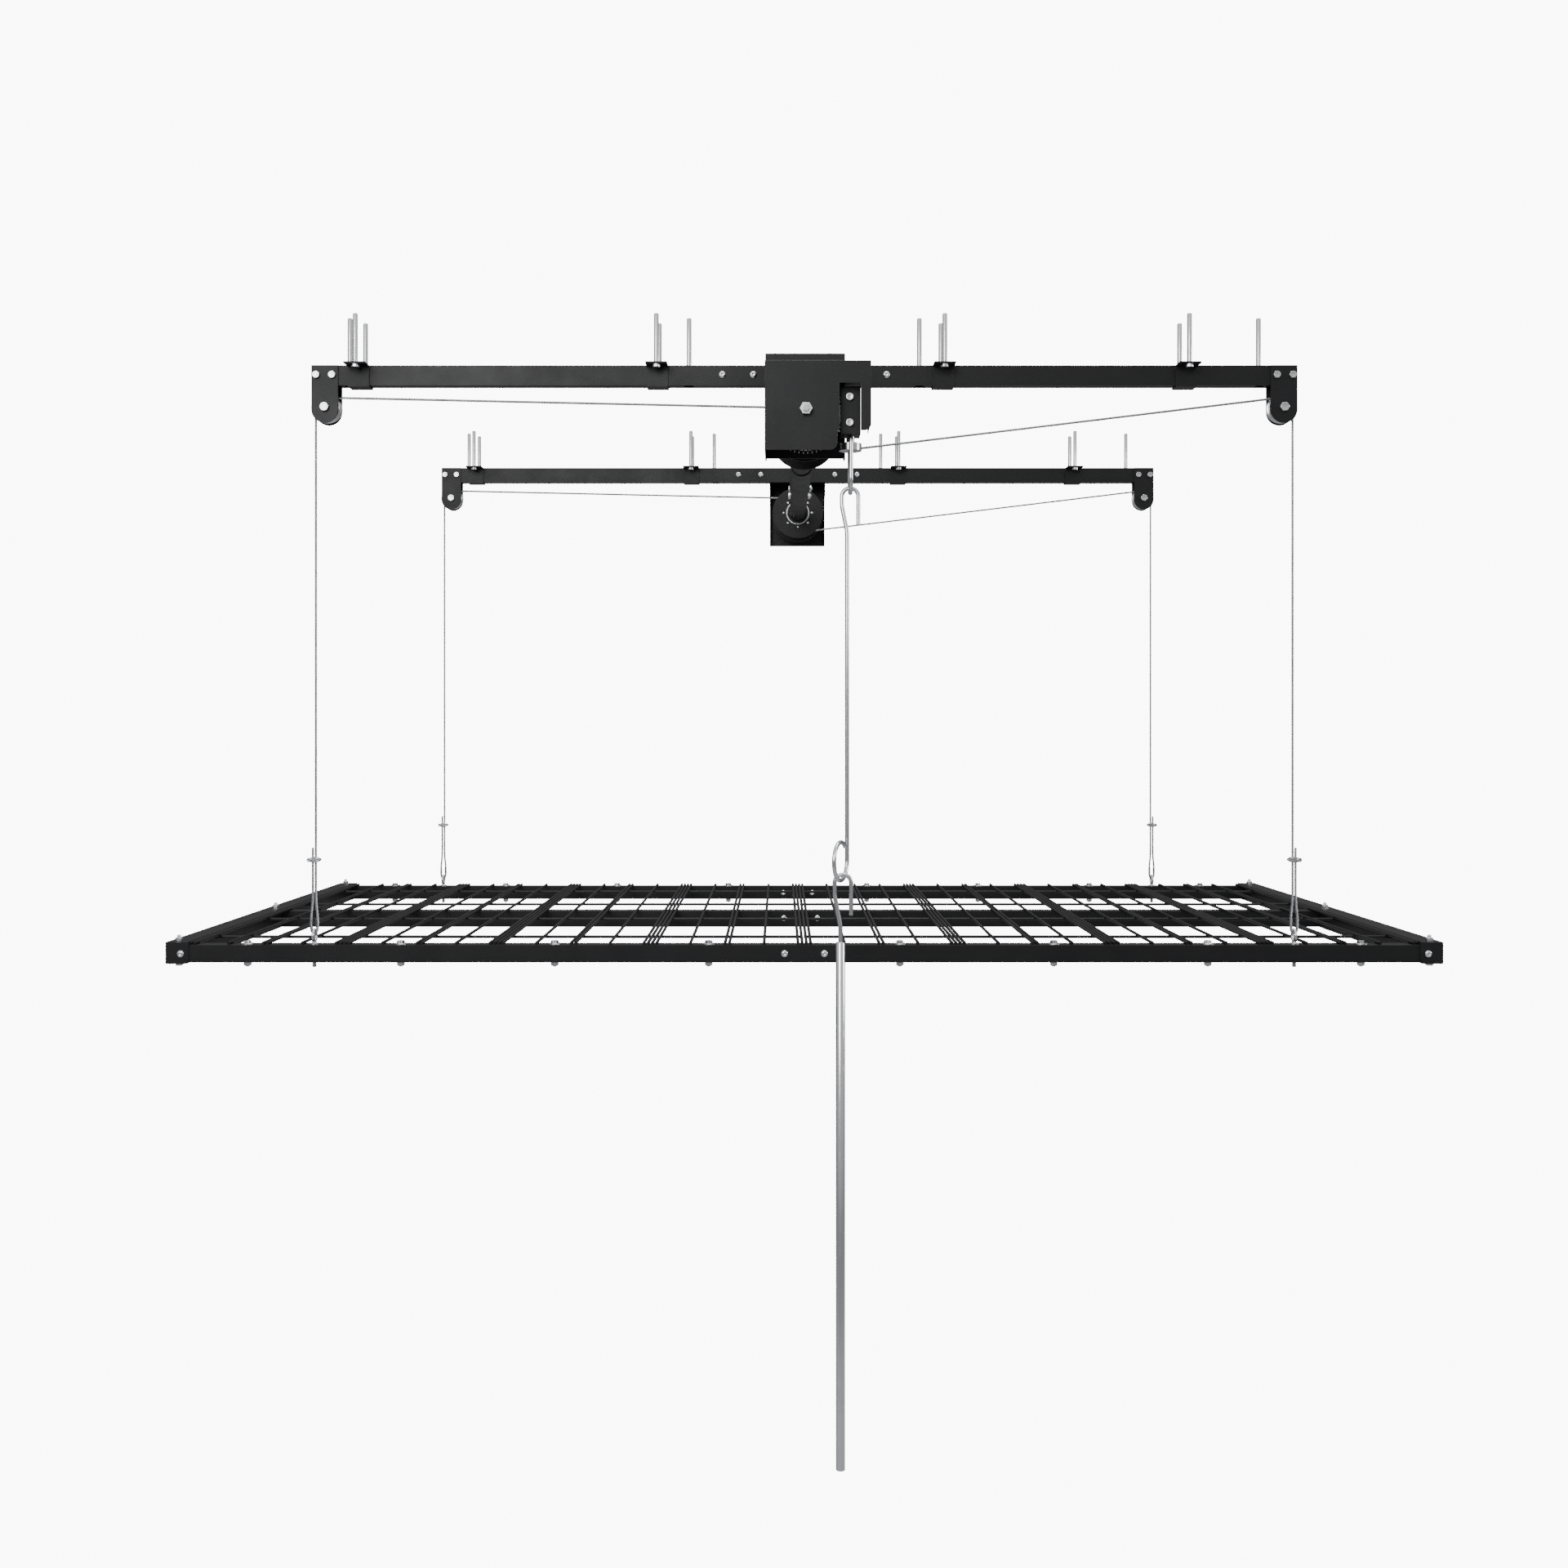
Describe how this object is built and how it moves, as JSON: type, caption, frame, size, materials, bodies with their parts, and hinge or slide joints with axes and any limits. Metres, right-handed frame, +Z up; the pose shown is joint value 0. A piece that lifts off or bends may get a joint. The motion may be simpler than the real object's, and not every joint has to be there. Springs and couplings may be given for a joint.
{
  "type": "ceiling mounted pulley rack",
  "caption": "Wide wire deck on a tube frame, hung on cables from two overhead tracks and raised by a hand cranked worm winch through pulleys at the track ends.",
  "frame": {"origin": "on the ceiling plane, midway between the two overhead tracks and centred on the winch shaft", "axes": "+X along the rack, to the right as seen from the crank; +Y from the crank side to the far side; +Z up through the ceiling"},
  "size_m": [2.438, 1.51, 2.122],
  "materials": {
    "powder_coat": "satin black powder coat on steel",
    "zinc_fasteners": "bright zinc plate",
    "bright_steel": "turned steel, zinc plated",
    "crank_plating": "bright plated rod and tube",
    "wire_rope": "galvanised stranded wire",
    "inner_steel": "plain drawn tube, hidden"
  },
  "bodies": {
    "ceiling_frame": {"front_track_left": "powder_coat", "front_track_right": "powder_coat", "rear_track_left": "powder_coat", "rear_track_right": "powder_coat", "track_joiners": "inner_steel", "track_joint_bolts": "zinc_fasteners", "ceiling_brackets": "powder_coat", "lag_screws": "zinc_fasteners", "pulley_cheeks": "powder_coat", "frame_hex_bolts": "zinc_fasteners", "pulley_axle_bolts": "zinc_fasteners", "front_mount_plate": "powder_coat", "rear_mount_plate": "powder_coat", "gear_cover": "powder_coat", "worm_housing": "powder_coat", "cable_runs": "wire_rope"},
    "winch_shaft": {"front_drum": "powder_coat", "rear_drum": "powder_coat", "drum_hub_trim": "zinc_fasteners", "front_drive_tube": "powder_coat", "rear_drive_tube": "powder_coat", "tube_sleeve": "powder_coat", "tube_cross_bolts": "zinc_fasteners", "worm_wheel": "bright_steel", "winch_spindle": "bright_steel", "spindle_nut": "zinc_fasteners", "drum_cable_coils": "wire_rope"},
    "front_left_pulley": {"front_pulley_left": "bright_steel"},
    "front_right_pulley": {"front_pulley_right": "bright_steel"},
    "rear_left_pulley": {"rear_pulley_left": "bright_steel"},
    "rear_right_pulley": {"rear_pulley_right": "bright_steel"},
    "worm_and_crank": {"worm_shaft": "bright_steel", "eye_link": "crank_plating", "crank_rod": "crank_plating", "crank_pole": "crank_plating"},
    "deck": {"front_rail_left": "powder_coat", "front_rail_right": "powder_coat", "mid_rail_left": "powder_coat", "mid_rail_right": "powder_coat", "rear_rail_left": "powder_coat", "rear_rail_right": "powder_coat", "rail_joiners": "inner_steel", "rail_button_bolts": "zinc_fasteners", "side_rail_left": "powder_coat", "side_rail_right": "powder_coat", "side_rail_bolts": "zinc_fasteners", "wire_panel_1": "powder_coat", "wire_panel_2": "powder_coat", "wire_panel_3": "powder_coat", "wire_panel_4": "powder_coat", "wire_panel_5": "powder_coat", "wire_panel_6": "powder_coat", "wire_panel_7": "powder_coat", "wire_panel_8": "powder_coat", "panel_bolts": "zinc_fasteners", "eye_bolts": "zinc_fasteners", "thimbles": "zinc_fasteners", "cable_end_loops": "wire_rope", "cable_clips": "zinc_fasteners", "cable_falls": "wire_rope"}
  },
  "joints": [
    {"name": "deck_lift", "type": "slide", "parent": "ceiling_frame", "child": "deck", "axis": [0, 0, 1], "range_m": [-1.25664, 0.75398], "deforming": ["cable_falls"]},
    {"name": "winch_turn", "type": "hinge", "parent": "ceiling_frame", "child": "winch_shaft", "pos_m": [0, 0, -0.124], "axis": [0, 1, 0], "range_deg": [-1602, 962]},
    {"name": "front_left_pulley_turn", "type": "hinge", "parent": "ceiling_frame", "child": "front_left_pulley", "pos_m": [-0.9165, -0.5895, -0.08], "axis": [0, 1, 0], "range_deg": [-3430.6, 2059.1]},
    {"name": "front_right_pulley_turn", "type": "hinge", "parent": "ceiling_frame", "child": "front_right_pulley", "pos_m": [0.9165, -0.5895, -0.08], "axis": [0, 1, 0], "range_deg": [-2059.1, 3430.6]},
    {"name": "rear_left_pulley_turn", "type": "hinge", "parent": "ceiling_frame", "child": "rear_left_pulley", "pos_m": [-0.9165, 0.5895, -0.08], "axis": [0, 1, 0], "range_deg": [-3430.6, 2059.1]},
    {"name": "rear_right_pulley_turn", "type": "hinge", "parent": "ceiling_frame", "child": "rear_right_pulley", "pos_m": [0.9165, 0.5895, -0.08], "axis": [0, 1, 0], "range_deg": [-2059.1, 3430.6]},
    {"name": "worm_turn", "type": "hinge", "parent": "ceiling_frame", "child": "worm_and_crank", "pos_m": [0.0815, -0.75, -0.124], "axis": [0, 0, 1], "range_deg": [-86402, 51842]}
  ],
  "couplings": [
    {"joint": "winch_turn", "follows": "deck_lift", "rad_per_m": 22.222},
    {"joint": "front_left_pulley_turn", "follows": "deck_lift", "rad_per_m": 47.619},
    {"joint": "front_right_pulley_turn", "follows": "deck_lift", "rad_per_m": -47.619},
    {"joint": "rear_left_pulley_turn", "follows": "deck_lift", "rad_per_m": 47.619},
    {"joint": "rear_right_pulley_turn", "follows": "deck_lift", "rad_per_m": -47.619},
    {"joint": "worm_turn", "follows": "deck_lift", "rad_per_m": 1200}
  ]
}
